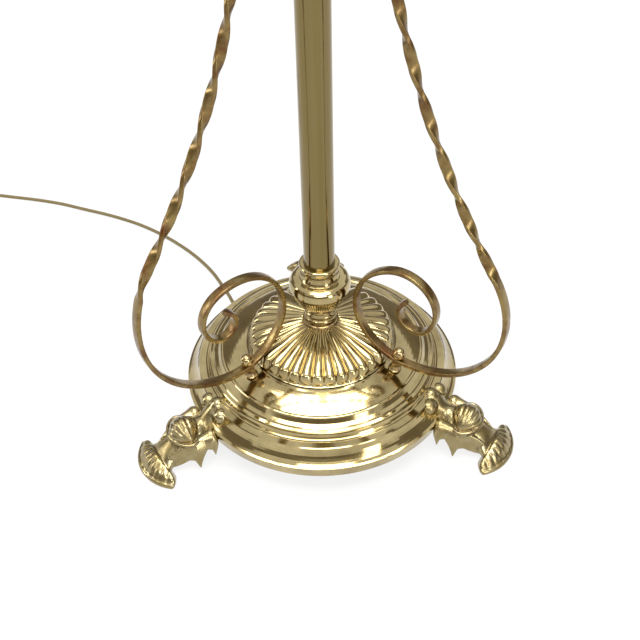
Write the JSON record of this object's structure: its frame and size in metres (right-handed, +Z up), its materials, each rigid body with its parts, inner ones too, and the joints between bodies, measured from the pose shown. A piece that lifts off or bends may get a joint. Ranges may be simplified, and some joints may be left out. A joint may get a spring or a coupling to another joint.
{
  "type": "adjustable floor lamp",
  "caption": "Floor lamp with stepped round base on leaf feet, gadrooned cap, scrolled twisted stays, telescopic column and conical shade.",
  "frame": {"origin": "on the floor, on the axis of the column", "axes": "+Z up along the column; the front feet stand at 210 and 330 degrees from +X, the front stays 3 degrees nearer the front, and the back foot and stay at 90 degrees, so that -Y is the front"},
  "size_m": [0.7141, 0.6603, 1.339],
  "materials": {
    "polished_brass": "polished",
    "tarnished_brass": "tarnished",
    "socket_brass": "satin",
    "iron": "painted",
    "steel": "plain",
    "bush_plastic": "moulded",
    "ivory_plastic": "moulded",
    "shade_fabric": "woven",
    "shade_trim": "woven",
    "clear_glass": "clear",
    "filament": "plain",
    "cord_flex": "braided",
    "boot_plastic": "moulded",
    "tie_plastic": "moulded",
    "plug_plastic": "moulded"
  },
  "bodies": {
    "stand": {"base_shell": "polished_brass", "base_weight": "iron", "bottom_plate": "iron", "hub_spacer": "steel", "gadrooned_cap": "polished_brass", "cap_washer": "tarnished_brass", "knob_foot": "polished_brass", "knob_cup": "polished_brass", "knob_bulb": "polished_brass", "knob_neck": "polished_brass", "tie_tube": "steel", "tie_nut": "steel", "tube_socket": "socket_brass", "outer_tube": "polished_brass", "foot_front_left": "polished_brass", "foot_front_right": "polished_brass", "foot_back": "polished_brass", "foot_screws": "steel", "stay_posts": "tarnished_brass", "post_studs": "steel", "ball_nuts": "polished_brass", "post_nuts": "steel", "stay_left": "polished_brass", "stay_right": "polished_brass", "stay_back": "polished_brass", "stay_collar": "polished_brass", "stay_screws": "polished_brass", "height_collar": "polished_brass", "top_bush": "bush_plastic", "cord_clamp": "steel", "clamp_screws": "steel", "cord_boot": "boot_plastic", "flex_lower": "cord_flex", "cord": "cord_flex", "cord_coil": "cord_flex", "coil_tie": "tie_plastic", "cord_tail": "cord_flex", "plug_body": "plug_plastic", "plug_pins": "socket_brass"},
    "head": {"inner_tube": "polished_brass", "tube_plug": "polished_brass", "holder_nipple": "steel", "holder_cup": "polished_brass", "lampholder_body": "polished_brass", "holder_core": "ivory_plastic", "contact_plungers": "socket_brass", "holder_barrel": "polished_brass", "shade_nut": "ivory_plastic", "shade_carrier": "polished_brass", "shade_wire": "polished_brass", "shade": "shade_fabric", "shade_trims": "shade_trim", "bulb_cap": "socket_brass", "bulb_glass": "clear_glass", "bulb_filament": "filament", "flex_upper": "cord_flex"},
    "slider": {"guide_bush": "bush_plastic"},
    "switch": {"switch_bar": "ivory_plastic"},
    "shoe": {"clamp_shoe": "socket_brass"},
    "screw": {"thumb_screw": "polished_brass"}
  },
  "joints": [
    {"name": "height_slide", "type": "slide", "parent": "stand", "child": "slider", "axis": [0, 0, 1], "range_m": [0, 0.42]},
    {"name": "head_swivel", "type": "hinge", "parent": "slider", "child": "head", "pos_m": [0, 0, 1.16], "axis": [0, 0, 1], "range_deg": [-180, 180]},
    {"name": "switch_push", "type": "slide", "parent": "head", "child": "switch", "axis": [0, 1, 0], "range_m": [0, 0.006]},
    {"name": "shoe_slide", "type": "slide", "parent": "stand", "child": "shoe", "axis": [1, 0, 0], "range_m": [0, 0.001]},
    {"name": "thumb_turn", "type": "hinge", "parent": "shoe", "child": "screw", "pos_m": [0.03, 0, 1.048], "axis": [1, 0, 0], "range_deg": [0, 360]}
  ],
  "couplings": [
    {"joint": "shoe_slide", "follows": "thumb_turn", "m_per_rad": 0.00015915}
  ]
}
